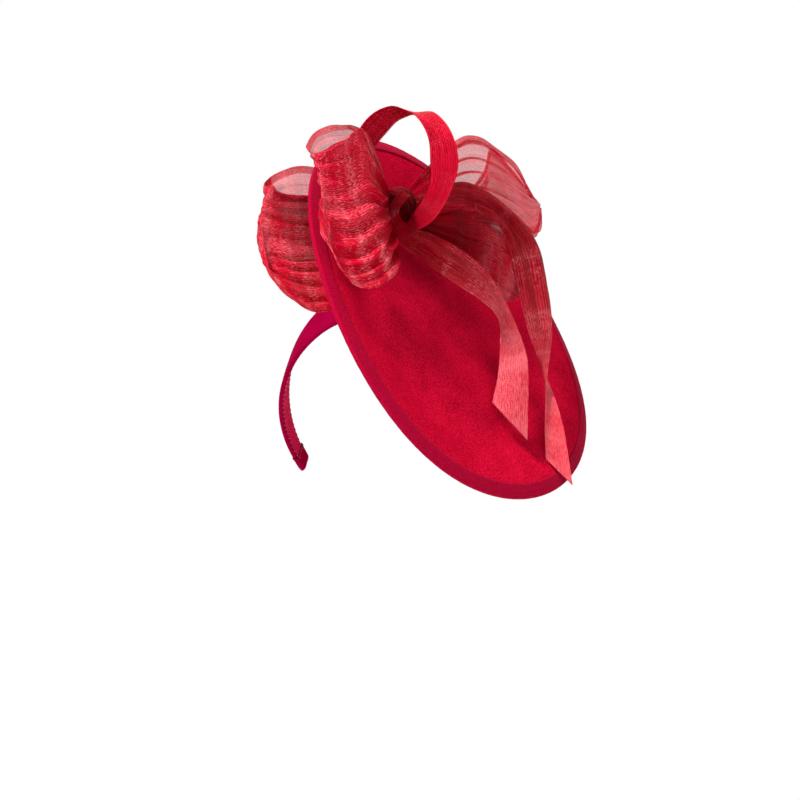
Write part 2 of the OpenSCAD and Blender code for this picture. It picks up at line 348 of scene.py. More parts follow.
def satin_material():
    s = Shader("satin_cloth")
    fine = s.noise(s.place_of(uv=True, scale=(0.25, 5, 1)), 3.0, 3, 0.6)
    cloud = s.noise(s.place_of(uv=True), 0.06, 2)
    mix = s.total(s.span(fine, 0.3, 0.7, 0.1, 0.75), s.span(cloud, 0.3, 0.7, 0, 0.25))
    s.paint(mix, (0.17, 0.0, 0.016), (0.28, 0.001, 0.040))
    s.relief(fine, 0.12, 0.2 * MM)
    s.set(Roughness=0.45, Metallic=0.2, Specular_IOR_Level=0.0, Specular_Tint=(1, 0.05, 0.2, 1))
    return s.material


def thread_noise(s, along, across, detail, rough):
    """Noise drawn out along the coarse threads, in cells per millimetre along and across them."""
    return s.noise(s.place_of(uv=True, scale=(along, across, 1)), 1.0, detail, rough)


def fine_weave(s):
    """The plain weave: whichever of its two sets of threads is on top."""
    warp_thread = s.bands(s.place_of(uv=True), 0.62, "Y")
    weft_thread = s.bands(s.place_of(uv=True), 0.8, "X")
    return s.maths("MAXIMUM", s.span(warp_thread, 0.1, 0.9), s.span(weft_thread, 0.25, 1.0, 0, 0.85))


def narrow_folds(s, run, pitch, turn_at):
    """Tucked lines along the cloth that die away towards its turn, at that length."""
    line = s.bands(s.place_of(uv=True, scale=(0.05, 1, 1)), pitch, "Y", 1.5)
    from_turn = s.maths("ABSOLUTE", s.maths("SUBTRACT", run, turn_at))
    return s.maths("MULTIPLY", s.span(line, 0.90, 0.99), s.span(from_turn, 20, 75))


def silk_colours(lightness, depth, pale):
    """The dark and light tones of the threads, and the pink of the painted glints that stand for
    highlights.
    """
    dark = (lightness * (0.80 - 0.52 * depth), 0.0, lightness * (0.030 - 0.024 * depth))
    light = (lightness * (0.92 - 0.2 * pale), 0.006 + 0.05 * pale, lightness * (0.045 + 0.04 * pale))
    painted_glint_colour = (lightness, 0.22 * lightness, 0.26 * lightness, 1)
    return dark, light, painted_glint_colour


def silk_material(
    name, cover, lightness=1.0, glow_share=0.1, painted_glints=0.8, depth=1.0,
    shade_and_light=(0, 34, -0.8, 0.0), pale=0.0, tucks=0, turn_at=0,
):
    """Open-weave silk: U runs with the coarse shiny threads, V across them, both in millimetres.

    cover: share of the surface that the threads hide, in the loosest and in the closest weave.
    The ramp of painted shade and light: from the first U to the second, the tone changes from the third
    number to the fourth, painted shade where it is below zero and painted light where it is above; by
    default it shades the first 34 mm from the knot.
    tucks: spacing of the narrow folds, which die away towards the turn at U = turn_at.
    """
    s = Shader(name)
    streak = thread_noise(s, 0.03, 0.55, 4, 0.75)
    slub = thread_noise(s, 0.3, 1.3, 3, 0.8)
    broad = thread_noise(s, 0.012, 0.25, 2, 0.5)
    thread = fine_weave(s)
    rows = s.bands(s.place_of(uv=True, scale=(0.12, 1, 1)), 1.35, "Y", 2.2)
    run = s.add("ShaderNodeSeparateXYZ", {0: s.place_of(uv=True)}).outputs["X"]
    # Painted shade and light along the strip's length, from the ramp.
    painted_shade_and_light = s.span(run, *shade_and_light)

    streaks, slubs = s.span(streak, 0.34, 0.62, 0, 0.5), s.span(slub, 0.34, 0.64, 0, 0.4)
    tone = s.total(streaks, slubs, s.span(rows, 0, 1, -0.16, 0.16), painted_shade_and_light)
    weave = s.total(s.scaled(thread, 0.35), s.scaled(slub, 0.65))
    hidden = s.total(s.span(weave, 0.3, 0.75, *cover), s.span(broad, 0.3, 0.7, -0.08, 0.08))
    if tucks:
        fold = narrow_folds(s, run, tucks, turn_at)
        tone = s.maths("SUBTRACT", tone, fold)
        hidden = s.total(hidden, s.scaled(fold, 0.35))

    # Painted highlights: pink glints in dashes along the threads, gathered in broad patches of painted
    # sheen and where the ramp of painted light runs high.
    dash, painted_sheen_patches = thread_noise(s, 0.42, 1.05, 2, 0.7), thread_noise(s, 0.07, 0.018, 2, 0.6)
    painted_glint_field = s.total(dash, s.scaled(painted_sheen_patches, 0.9), s.scaled(painted_shade_and_light, 0.3), s.span(rows, 0, 1, -0.04, 0.04))
    dark, light, painted_glint_colour = silk_colours(lightness, depth, pale)
    painted_glint_share = s.span(painted_glint_field, 0.93, 1.20, 0, painted_glints)
    under = s.colours(tone, dark, light)
    colour = s.add("ShaderNodeMixRGB", {"Fac": painted_glint_share, "Color1": under, "Color2": painted_glint_colour})
    s.set(Base_Color=colour.outputs["Color"])
    s.set(Roughness=0.36, Metallic=0.3, Specular_IOR_Level=0.05, Specular_Tint=(1, 0.1, 0.15, 1))
    s.set(Anisotropic=0.8, Anisotropic_Rotation=0.25)
    grain = s.add("ShaderNodeTangent", direction_type="UV_MAP", uv_map="cloth")
    height = s.total(s.scaled(thread, 0.5), slub, s.scaled(rows, 0.35))
    normal = s.bump(height, 0.9, 0.6 * MM)
    s.set(Tangent=grain.outputs[0], Normal=normal)

    glow_colour = s.colours(tone, (0.60, 0.0, 0.01), (1.0, 0.025, 0.06))
    glow = s.add("ShaderNodeBsdfTranslucent", {"Color": glow_colour, "Normal": normal})
    body = s.mixed(glow_share, s.main.outputs[0], glow.outputs[0])
    hole = s.add("ShaderNodeBsdfTransparent")
    s.link(s.mixed(hidden, hole.outputs[0], body), s.out.inputs["Surface"])
    return s.material


def thread_material():
    s = Shader("sewing_thread")
    twist = s.bands(s.place_of(), 1.208 * MM, "DIAGONAL")
    s.paint(twist, (0.16, 0.0, 0.012), (0.42, 0.004, 0.03))
    s.relief(twist, 0.5, 0.2 * MM)
    s.set(Roughness=0.55, Sheen_Weight=0.2)
    return s.material


def metal_material(name, dark, light, roughness):
    s = Shader(name)
    drawn = s.noise(s.place_of(scale=(1, 1, 8)), 700, 3, 0.6)
    s.paint(drawn, dark, light)
    s.relief(drawn, 0.1, 0.1 * MM)
    s.set(Roughness=s.span(drawn, 0.3, 0.7, roughness - 0.06, roughness + 0.08), Metallic=1.0)
    return s.material


def core_material():
    s = Shader("core_strip")
    scuff = s.noise(s.place_of(), 500, 4, 0.65)
    s.paint(scuff, (0.07, 0.07, 0.075), (0.15, 0.15, 0.16))
    s.relief(scuff, 0.15, 0.2 * MM)
    s.set(Roughness=0.55)
    return s.material


FELT = felt_material("wool_felt", (0.17, 0.0, 0.005), (0.66, 0.006, 0.038))
PAD_FELT = felt_material("pad_felt", (0.28, 0.0, 0.006), (0.50, 0.001, 0.02))
BINDING = ribbon_material("rim_ribbon", (0.15, 0.0, 0.007), (0.42, 0.003, 0.034), 1.0)
LINING = ribbon_material("lining_ribbon", (0.30, 0.0, 0.02), (0.50, 0.002, 0.06), 1.4)
SATIN = satin_material()
# The loops, the ring and the dense silk keep the default ramp: painted shade over the first 34 mm from
# the knot.
SILK = silk_material("abaca_silk", (0.5, 0.86), glow_share=0.25, painted_glints=0.7, depth=0.8)
# With depth 0.05 the fan's dark tone is nearly as light as its light tone: painted light on the fan,
# which faces away from the key.
FAN_SILK = silk_material(
    "fan_silk", (0.5, 0.84), glow_share=0.15, painted_glints=0.5, depth=0.05, tucks=13, turn_at=138
)
SILK_DENSE = silk_material("abaca_silk_dense", (0.93, 1.0), glow_share=0.12, painted_glints=0.9, depth=0.9)
# A dark copy of the silk, at a quarter of its lightness and without glints: painted shade for the knot,
# deep among the loops.
SILK_SHADED = silk_material("abaca_silk_painted_shade", (0.97, 1.0), lightness=0.24, painted_glints=0.0)
# The flap's silk is painted shade: half as light, and darker still near the knot, where it lies under the
# side tail; its ramp paints light near its far end.
FLAP_SILK = silk_material(
    "flap_silk", (0.99, 1.0), lightness=0.5, glow_share=0.05, painted_glints=0.55, shade_and_light=(30, 105, -0.9, 0.6)
)
RING_SILK = silk_material("ring_silk", (0.97, 1.0), lightness=0.72, painted_glints=0.1, depth=0.6)
# The tails' ramps paint shade near their roots and turns, and painted light toward their ends.
FRONT_SILK = silk_material(
    "tail_front_silk", (0.98, 1.0), lightness=0.80, painted_glints=0.6, shade_and_light=(45, 150, -0.6, 0.5), pale=0.6
)
SIDE_SILK = silk_material(
    "tail_side_silk", (0.98, 1.0), lightness=0.80, painted_glints=0.5, shade_and_light=(100, 235, -0.3, 0.5), pale=0.6
)
THREAD = thread_material()
WIRE = metal_material("drawn_wire", (0.42, 0.42, 0.44), (0.68, 0.68, 0.70), 0.3)
BRASS = metal_material("ferrule_brass", (0.55, 0.37, 0.14), (0.80, 0.60, 0.28), 0.35)
CORE = core_material()


def finish_piece(piece, slot, *nodes, body="root"):
    """Attaches a piece to its body and hides the CAD nodes it stands for."""
    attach(piece, body)
    if nodes:
        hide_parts(*nodes)


# The stage: camera, floor and lights


def look_at(thing, at):
    aim = Vector(at) - thing.location
    thing.rotation_euler = aim.to_track_quat("-Z", "Y").to_euler()


def make_camera():
    data = bpy.data.cameras.new("camera")
    data.lens = 145.3
    data.sensor_width = 36
    data.clip_end = 60
    camera = bpy.data.objects.new("camera", data)
    camera.location = (0.3551, -1.9693, 0.2899)
    look_at(camera, (0.0131, -0.0296, -0.0574))
    scene.collection.objects.link(camera)
    scene.camera = camera


def area_light(name, at, size, watts):
    data = bpy.data.lights.new(name, "AREA")
    data.size = size
    data.energy = watts
    lamp = bpy.data.objects.new(name, data)
    lamp.location = at
    look_at(lamp, (0.0, 0.0, 0.02))
    scene.collection.objects.link(lamp)


def make_floor():
    floor = Shader("studio_floor")
    tone = floor.noise(floor.place_of(), 0.6, 2)
    floor.paint(tone, (0.80, 0.80, 0.80), (0.84, 0.84, 0.84))
    floor.set(Roughness=0.9, Specular_IOR_Level=0.1)
    seen = floor.shown_white(floor.main.outputs[0], "ShaderNodeEmission")
    floor.link(seen, floor.out.inputs["Surface"])
    low, half = -0.55, 6.0
    verts = [(-half, -half, low), (half, -half, low), (half, half, low), (-half, half, low)]
    mesh_object("studio_floor", verts, [(0, 1, 2, 3)], floor.material)


def make_world():
    """White light from all round, weaker from the camera's side than from behind the object."""
    world = bpy.data.worlds.new("studio")
    world.use_nodes = True
    sky = Nodes(world.node_tree)
    direction = sky.add("ShaderNodeTexCoord").outputs["Generated"]
    toward = sky.add("ShaderNodeSeparateXYZ", {0: direction}).outputs["Y"]
    back = sky.tree.nodes["Background"]
    sky.feed(WHITE, back.inputs["Color"])
    sky.feed(sky.span(toward, -0.1, 0.6, 0.12, 1.0), back.inputs["Strength"])
    seen = sky.shown_white(back.outputs[0], "ShaderNodeBackground")
    sky.link(seen, sky.tree.nodes["World Output"].inputs["Surface"])
    scene.world = world


def make_stage():
    make_floor()
    make_world()
    scene.view_settings.view_transform = "Standard"
    area_light("key", (-1.0, -1.35, 2.4), 0.55, 165)
    area_light("fill", (1.0, -2.2, 0.7), 1.4, 34)
    area_light("back", (0.5, 2.2, 0.9), 2.2, 18)


# The plate


def felt_top(r):
    """Height of the felt's upper face at radius r."""
    r = np.asarray(r, float)
    trough = DISH_H + (TROUGH_H - DISH_H) * ease((r - DISH_R) / (TROUGH_R - DISH_R))
    ring = TROUGH_H + (RING_H - TROUGH_H) * ease((r - TROUGH_R) / (RING_R - TROUGH_R))
    rim = RING_H - RIM_DROP * ((r - RING_R) / (PLATE_R - RING_R)) ** 2
    return np.where(r < TROUGH_R, trough, np.where(r < RING_R, ring, rim))


def warp(r, turn):
    """How the blocked plate is drawn out of true towards its rim: a saddle, and three soft waves."""
    saddle = 3.5 * np.cos(2 * (turn - math.radians(11)))
    waves = 1.5 * np.cos(3 * turn + math.radians(33))
    return (saddle + waves) * (r / PLATE_R) ** 2


def face_line(radii, lift):
    """(radius, height) points that far above the felt's upper face."""
    return np.stack([radii, felt_top(radii) + lift], axis=-1)


def lathe_points(section, turns):
    """A ring of section points (radius, height) for each angle, warped, in the plate's frame."""
    section = np.asarray(section, float)
    r, h = section[:, 0][None], section[:, 1][None]
    turns = np.asarray(turns)[:, None]
    return np.stack([r * np.cos(turns), r * np.sin(turns), h + warp(r, turns)], axis=-1)


def plate_dents(turns, reach):
    """What blocking by hand leaves: slow waves in the felt, none at the middle or under the rim."""
    dents = 0
    for around, outward, start, deep in (
        (2, 0.9, 0.4, 0.35),
        (3, -1.3, 2.0, 0.22),
        (5, 1.9, 4.1, 0.12),
        (8, -2.6, 1.1, 0.06),
    ):
        dents = dents + deep * np.cos(around * turns[:, None] + outward * reach[None] / 20 + start)
    calm = np.clip((reach - 10) / 30, 0, 1) * np.clip((RIM_R - reach) / 12, 0, 1)
    return dents * calm[None]


def make_plate():
    felt_r = RIM_R - EDGE_R
    radii = np.concatenate([np.linspace(6, 60, 16), np.linspace(DISH_R, felt_r, 46)])
    count = 540
    turns = full_turn(count)
    section = np.concatenate([face_line(radii, 0), face_line(radii[::-1], -FELT_T)])
    points = lathe_points(section, turns)
    points[..., 2] += plate_dents(turns, section[:, 0])
    cols = len(section)
    verts = list(place(IN_PLATE, points))
    faces = grid_faces(count, cols, close_rows=True)
    for end, flip in ((0, False), (cols - 1, True)):
        verts.append(place(IN_PLATE, points[:, end].mean(0))[0])
        hub = len(verts) - 1
        for i in range(count):
            a, b = i * cols + end, (i + 1) % count * cols + end
            faces.append((hub, b, a) if flip else (hub, a, b))
    plate = mesh_object("plate_felt", verts, faces, FELT)
    finish_piece(plate, "felt", "felt_plate")


def rim_line(swell):
    """Section of the felt's rim, swollen by the ribbon, from the upper face round to the lower."""
    radii = np.linspace(PLATE_R - BINDING_W, RIM_R, 9)
    edge = felt_top(RIM_R) - EDGE_R
    round_r = EDGE_R + swell
    arc = np.radians(np.arange(80, -81, -16))
    turn = np.stack([RIM_R + round_r * np.cos(arc), edge + round_r * np.sin(arc)], axis=-1)
    return np.concatenate([face_line(radii, swell), turn, face_line(radii[::-1], -FELT_T - swell)])


def binding_swell(turns, across):
    """How far the ribbon stands out: the lap of its ends, its woven edge, and a slight pucker."""
    lap_at, lap_long, lap_t = math.radians(52.0), math.radians(6.5), 0.55
    away = (turns - lap_at) / lap_long
    lap = lap_t * ((away > 0) & (away < 1)) * np.clip(away * 14, 0, 1)
    selvedge = 0.10 * (np.abs(across - 0.8) < 0.5)
    return lap[:, None] + selvedge[None] + 0.05 * ripple(len(turns), len(across), 260, 3, 8)


def make_binding():
    outside = rim_line(BINDING_T)
    count = 1600
    turns = full_turn(count)
    outer = lathe_points(outside, turns)
    inner = lathe_points(rim_line(0.05), turns)
    across = lengths_along(outside)
    out = unit(outside - rim_line(0))
    swell = binding_swell(turns, across)
    outer[..., 0] += swell * out[:, 0] * np.cos(turns)[:, None]
    outer[..., 1] += swell * out[:, 0] * np.sin(turns)[:, None]
    outer[..., 2] += swell * out[:, 1]
    points = np.concatenate([outer, inner[:, ::-1]], axis=1)
    over = np.concatenate([across, across[::-1]])
    uvs = np.stack(np.meshgrid(turns * PLATE_R, over, indexing="ij"), axis=-1)
    faces = grid_faces(count, len(over), close_rows=True, close_cols=True)
    binding = mesh_object("rim_ribbon_fold", place(IN_PLATE, points), faces, BINDING, uvs)
    finish_piece(binding, "binding", "rim_binding")


def make_binding_stitches():
    """Slip stitches that hold the ribbon's inner edge to the underside of the felt."""
    inner, spacing = PLATE_R - BINDING_W, 6
    stitches = []
    for turn in np.arange(0, 2 * np.pi, spacing / inner):
        r = inner + np.array([0.9, 0.2, -0.6, -1.1])
        t = turn + np.array([0, 0.003, 0.006, 0.009])
        drop = np.array([-0.55, -0.75, -0.35, 0.1]) - FELT_T
        h = felt_top(r) + drop + warp(r, t)
        stitches.append(place(IN_PLATE, np.stack([r * np.cos(t), r * np.sin(t), h], axis=-1)))
    finish_piece(tubes_object("binding_stitches", stitches, 0.16, THREAD), "thread")


def rim_tube(name, turn_0, turn_1, count, radius, material, sides):
    """A tube that follows the middle of the felt's edge between two angles."""
    height = float(felt_top(RIM_R)) - EDGE_R
    line = lathe_points([(RIM_R, height)], np.linspace(turn_0, turn_1, count))
    return tubes_object(name, [place(IN_PLATE, line)], radius, material, sides)


def make_wire():
    wire = rim_tube("rim_wire_ring", 0, 2 * np.pi, 361, 0.8, WIRE, 10)
    finish_piece(wire, "wire", "rim_wire")
    middle, half = np.pi / 2, 8 / RIM_R
    ferrule = rim_tube("ferrule_sleeve", middle - half, middle + half, 25, 1.05, BRASS, 16)
    finish_piece(ferrule, "ferrule", "wire_ferrule")


# The headband


def arch_point(t, depth):
    """(x, z) on the arch at angle t in degrees, that deep below its outer face, in millimetres."""
    away = np.array([-math.cos(math.radians(t)), math.sin(math.radians(t))])
    if t < SHOULDER:
        return np.array([CENTRE_X, 0]) + (SIDE_R - depth) * away
    if t > 180 - SHOULDER:
        return np.array([-CENTRE_X, 0]) + (SIDE_R - depth) * away
    return np.array([0, CROWN_Z]) + (CROWN_R - depth) * away


def band_half(t):
    z = arch_point(t, 0)[1]
    share = (z - ARCH_LOW) / (ARCH_TOP - ARCH_LOW)
    return (END_W + (TOP_W - END_W) * share) / 2


def band_points(t, section):
    """A section's (across, depth) points, set up at angle t on the arch."""
    return [(arch_point(t, depth)[0], across, arch_point(t, depth)[1]) for across, depth in section]


def band_section(half, depth_0, depth_1, crown):
    """A flat section with round edges and a crowned top: (across, depth) points around it."""
    mid, r = (depth_0 + depth_1) / 2, (depth_1 - depth_0) / 2
    flat = half - r
    over = np.linspace(-flat, flat, 13)
    arc = np.linspace(0, math.pi, 9)[1:-1]
    top = [(y, depth_0 - crown * (1 - (y / half) ** 2)) for y in over]
    right = [(flat + r * math.sin(a), mid - r * math.cos(a)) for a in arc]
    low = [(y, depth_1) for y in over[::-1]]
    left = [(-flat - r * math.sin(a), mid + r * math.cos(a)) for a in arc]
    return np.array(top + right + low + left)


def band_sweep(name, ends, depths, inset, crown, material, wrinkle, seed, shell=0.0):
    """Cloth swept along the arch: solid, or a sleeve of that thickness that is open at both ends."""
    step = 0.5
    steps = np.arange(ends[0], ends[1] + step / 2, step)
    along = lengths_along([arch_point(t, 0) for t in steps])
    points, uvs = [], []
    for t, run in zip(steps, along):
        half = band_half(t) - inset
        section = band_section(half, *depths, crown)
        uvs.append([(run, v) for v in lengths_along(section)])
        if shell:
            inner = band_section(half - shell, depths[0] + shell, depths[1] - shell, crown)
            section = np.concatenate([section, inner])
        points.append(band_points(t, section))
    points, uvs = np.array(points), np.array(uvs)
    rows, cols = uvs.shape[:2]
    out = unit(points - points.mean(1, keepdims=True))
    noise = ripple(rows, cols, max(3, rows // 7), 9, seed)
    points += out * np.tile(wrinkle * noise, points.shape[1] // cols)[..., None]
    if shell:
        points = np.concatenate([points[:, :cols], points[::-1, cols:]])
        uvs = np.concatenate([uvs, uvs[::-1]])
        faces = grid_faces(2 * rows, cols, close_rows=True, close_cols=True)
    else:
        faces = capped_faces(rows, cols)
    swept = mesh_object(name, place(IN_BAND, points), faces, material, uvs)
    return swept, along[-1] * MM


def over_flex(piece):
    """Bakes a band piece's transform into its mesh."""
    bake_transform(piece)


def lining_stitches(name, t0, t1):
    """Whip stitches over both edges of the lining, into the cover."""
    stitch = ((-0.9, 3.0, 0), (-0.3, 3.32, 0.25), (0.4, 3.0, 0.5), (0.9, 2.45, 0.7))
    runs = []
    for t in np.arange(min(t0, t1) + 2, max(t0, t1) - 2, 2.2):
        edge = band_half(t) - LINING_INSET
        for side in (-1, 1):
            points = []
            for past_edge, depth, ahead in stitch:
                points += band_points(t + ahead, [(side * (edge + past_edge), depth)])
            runs.append(place(IN_BAND, points))
    return tubes_object(name, runs, 0.17, THREAD)


def make_band():
    for side, ends, nodes in (
        ("right", (-TIP, COVER_SEAM), ["crown", "right"]),
        ("left", (COVER_SEAM, 180 + TIP), ["left"]),
    ):
        cover, run = band_sweep(
            f"satin_cover_{side}", ends, (0, COVER_DEPTH), 0, 0.25, SATIN, 0.10, 21, shell=0.45
        )
        lining, _ = band_sweep(
            f"lining_ribbon_{side}", ends, (COVER_DEPTH - 0.05, BAND_T), LINING_INSET, 0, LINING, 0.04, 22
        )
        stitches = lining_stitches(f"lining_stitches_{side}", *ends)
        for piece, slot in ((cover, "satin"), (lining, "lining"), (stitches, "thread")):
            over_flex(piece)
        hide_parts(*[f"band_cover_{node}" for node in nodes])
        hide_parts(*[f"band_lining_{node}" for node in nodes])


def make_cap(side):
    """A folded satin pocket over one end of the band, whip-stitched along its mouth."""
    flip = 1 if side == "left" else -1
    tip, mouth = TIP + 0.28, TIP - 6.24
    cloth, lip_out, mm_per_degree = 0.42, 0.28, 1.76
    rows, uvs = [], []
    for t in np.linspace(mouth, tip, 26):
        close = math.sqrt(max(0.0, 1 - max(0, (t - TIP + 1.2) / 1.5) ** 2))
        narrow, thin = 0.80 + 0.20 * close, 0.35 + 0.65 * close
        lip = lip_out if t < mouth + 0.5 else 0.0
        half = (band_half(180 + t) + 0.45) * narrow + lip
        section = band_section(half, -cloth - lip, BAND_T + cloth + lip, 0.3 * close)
        section[:, 1] = (section[:, 1] - BAND_MID) * thin + BAND_MID
        rows.append(band_points(180 + t, section))
        uvs += [(t * mm_per_degree, across) for across, _ in section]
    points = np.array(rows) * (flip, 1, 1)
    cols = points.shape[1]
    pucker = 0.09 * ripple(len(rows), cols, 6, 11, 31)
    points += unit(points - points.mean(1, keepdims=True)) * pucker[..., None]
    faces = capped_faces(len(rows), cols)
    cap = mesh_object(f"satin_cap_{side}", place(IN_BAND, points), faces, SATIN, uvs)
    finish_piece(cap, "satin", f"end_cap_{side}", body=f"leg_{side}")
    make_cap_stitches(side, mouth, flip)


def make_cap_stitches(side, mouth, flip):
    """A row of stitches over the pocket's lip, outside and inside the band."""
    edge = band_half(180 + mouth) - 1.5
    runs = []
    for y in np.linspace(-edge, edge, 7):
        for high, low in ((-0.75, -0.05), (BAND_T + 0.75, BAND_T + 0.05)):
            stitch = []
            for ahead, depth in ((0.9, high * 0.9 + low * 0.1), (0.3, high), (-0.4, low)):
                stitch += band_points(180 + mouth + ahead, [(y + ahead * 0.5, depth)])
            runs.append(place(IN_BAND, np.array(stitch) * (flip, 1, 1)))
    stitches = tubes_object(f"cap_stitches_{side}", runs, 0.16, THREAD)
    finish_piece(stitches, "thread", body=f"leg_{side}")


# The fixing between plate and band


def pad_faces(rows, cols):
    """Two grids, the upper one first, joined all round their edges."""
    count = rows * cols
    faces = grid_faces(rows, cols)
    faces += [tuple(reversed(f)) for f in grid_faces(rows, cols, start=count)]
    rim = list(range(cols)) + [i * cols + cols - 1 for i in range(1, rows)]
    rim += [(rows - 1) * cols + j for j in range(cols - 2, -1, -1)]
    rim += [i * cols for i in range(rows - 2, 0, -1)]
    for a, b in zip(rim, rim[1:] + rim[:1]):
        faces.append((b, a, a + count, b + count))
    return faces


def make_pad():
    """A felt block with soft edges: flat on top under the plate, hollowed below to the band's arc."""
    (x0, x1), y_half, top, soft = PAD_X, 14, -1.45, 1.1
    to_plate = np.linalg.inv(np.array(IN_PLATE)) @ np.array(IN_BAND)
    arc_centre = (np.array([-CENTRE_X * MM, 0, 0, 1]) @ to_plate.T)[:3] / MM

    def outline(a, b, low):
        x = x0 + (x1 - x0) * a
        y = PAD_Y + y_half * b
        under = arc_centre[2] + math.sqrt((SIDE_R + 0.1) ** 2 - (x - arc_centre[0]) ** 2)
        edge = min((1 - abs(b)) * y_half, a * (x1 - x0), (1 - a) * (x1 - x0))
        pull = soft * (1 - math.sqrt(max(0.0, 1 - max(0.0, 1 - edge / soft) ** 2)))
        return (x, y, under + pull if low else top - pull)

    xs, ys = np.linspace(0, 1, 41), np.linspace(-1, 1, 29)
    verts = np.array([outline(a, b, low) for low in (False, True) for a in xs for b in ys])
    verts[:, :2] += 0.12 * np.stack([np.sin(3.1 * verts[:, 1]), np.sin(2.7 * verts[:, 0])], axis=-1)
    pad = mesh_object("pad_felt_block", place(IN_PLATE, verts), pad_faces(len(xs), len(ys)), PAD_FELT)
    finish_piece(pad, "felt", "mount_pad")


def make_tacks():
    """Three twisted thread loops that hold the band: round it, and into the felt without showing."""
    half, high, twists, strand_r = 17.4, -0.6, 26, 0.2
    middle = sum(PAD_X) / 2
    runs = []
    for x in (middle - 12, middle, middle + 12):
        low = -9.4 - (x - middle) ** 2 / 2 / SIDE_R
        corners = [(-half + 2, high), (-half, high - 1.5), (-half, low + 1.2), (-half + 1.2, low)]
        corners += [(-y, z) for y, z in corners[::-1]]
        loop = [(x, PAD_Y + y, z) for y, z in corners]
        path = smooth_path(loop, np.linspace(0, len(loop) - 1, 140))
        turns = np.linspace(0, 2 * np.pi * twists, len(path))
        for phase in (0, np.pi):
            turn = turns + phase
            twist = np.stack([np.cos(turn), np.sin(turn), np.sin(turn) * 0.5], axis=-1)
            runs.append(place(IN_PLATE, path + strand_r * twist))
    tacks = tubes_object("tack_loops", runs, 0.24, THREAD)
    finish_piece(tacks, "thread", "tack_threads")


# The bow

HEM_DROP = 0.45


def gathers(u, w, widths, cloth_w, count, seed):
    """Height of pleats that take up the cloth wider than the space between the strip's edges."""
    rows, cols = len(u), len(w)
    spare = np.clip(cloth_w / widths, 1.015, 4.5) - 1
    tall = widths / count / np.pi * np.sqrt(spare)
    tall = (tall[None] * np.exp(-np.abs(u[:, None] - u[None]) / 0.10)).max(axis=1)
    shift = 0.75 * ripple(rows, cols, 2, 4, seed) + 0.3 * ripple(rows, cols, 7, 5, seed + 1)
    wave = np.cos(2 * np.pi * (count * w[None] + shift))
    crest = 0.75 * wave + 0.35 * (np.abs(wave) ** 1.5 * 2 - 1) * np.sign(np.cos(seed))
    gain = 0.75 + 0.55 * ripple(rows, cols, 3, count, seed + 2)
    narrow = np.cos(2 * np.pi * (count * 2.6 * w[None] + 1.4 * shift))
    fine = 0.2 * narrow * ripple(rows, cols, 5, 7, seed + 3)
    return tall[:, None] * (crest * gain + fine)


def surface_normals(points):
    return unit(np.cross(np.gradient(points, axis=1), np.gradient(points, axis=0)))


def strip_surface(path, bulge, cells=80):
    """The plain surface between a strip's two edges, with u along it and w across it, from 0 to 1."""
    path = np.asarray(path, float)
    spans, rows_per_span = len(path) - 1, 22
    s = np.linspace(0, spans, spans * rows_per_span + 1)
    a, b = smooth_path(path[:, 0], s), smooth_path(path[:, 1], s)
    w = np.linspace(0, 1, cells + 1)
    u = s / spans
    points = a[:, None] * (1 - w)[None, :, None] + b[:, None] * w[None, :, None]
    out = unit(np.cross(b - a, np.gradient((a + b) / 2, axis=0)))
    crown = bulge * np.sin(np.pi * u)[:, None] * (4 * w * (1 - w))[None]
    return points + out[:, None] * crown[..., None], u, w


def add_hems(points, w, hem_mm):
    """Turns both long edges under: extra columns that run back beneath the cloth."""
    wide = np.linalg.norm(points[:, -1] - points[:, 0], axis=1)
    share = np.clip(hem_mm / wide, 0.01, 0.22)
    out = surface_normals(points)
    rows = np.arange(len(points))

    def beneath(where):
        spot = np.clip(where, 0, 1) * (len(w) - 1)
        k = np.minimum(spot.astype(int), len(w) - 2)
        t = (spot - k)[:, None]
        return points[rows, k] * (1 - t) + points[rows, k + 1] * t - out[rows, k] * HEM_DROP

    steps = (1.0, 0.66, 0.33, 0.08)
    first = [beneath(share * step) for step in steps]
    last = [beneath(1 - share * step) for step in steps]
    near = [points[:, k] for k in range(len(w))]
    columns = np.stack(first + near + last[::-1], axis=1)
    hem_w = np.array([share.mean() * step for step in steps])
    return columns, np.concatenate([-hem_w, w, 1 + hem_w[::-1]])


def strip_uvs(points, w, cloth_w):
    along = lengths_along(points[:, points.shape[1] // 2])
    uvs = np.stack(np.meshgrid(along, np.asarray(w) * cloth_w, indexing="ij"), axis=-1)
    return uvs, along[-1]


def creases(u, w, lines):
    """Sharp folds across a grid: (u, w) of both ends, depth in millimetres and width in w."""
    high = np.zeros((len(u), len(w)))
    for u0, w0, u1, w1, deep, wide in lines:
        share = (u - u0) / (u1 - u0)
        line = w0 + (w1 - w0) * share
        near = np.sqrt(np.clip(4 * share * (1 - share), 0, 1))
        away = (w[None] - line[:, None]) / wide
        high += deep * near[:, None] * (0.7 * np.exp(-((away - 1.7) ** 2)) - np.exp(-(away**2)))
    return high


def pushed(points, u, w, puff):
    """The strip drawn out one way about a place on its length, and not at its edges."""
    centre, spread, push = puff
    share = np.exp(-(((u - centre) / spread) ** 2))[:, None] * (4 * w * (1 - w))[None]
    return points + share[..., None] * np.array(push)


def calm_at_bends(middle):
    """Share of the pleats' height that is left along the strip, less where it turns sharply."""
    step = np.gradient(middle, axis=0)
    bend = np.linalg.norm(np.gradient(unit(step), axis=0), axis=1) / np.linalg.norm(step, axis=1)
    calm = 1 / (1 + (8 * bend) ** 2)
    return np.convolve(np.pad(calm, 6, mode="edge"), np.ones(13) / 13, mode="valid")


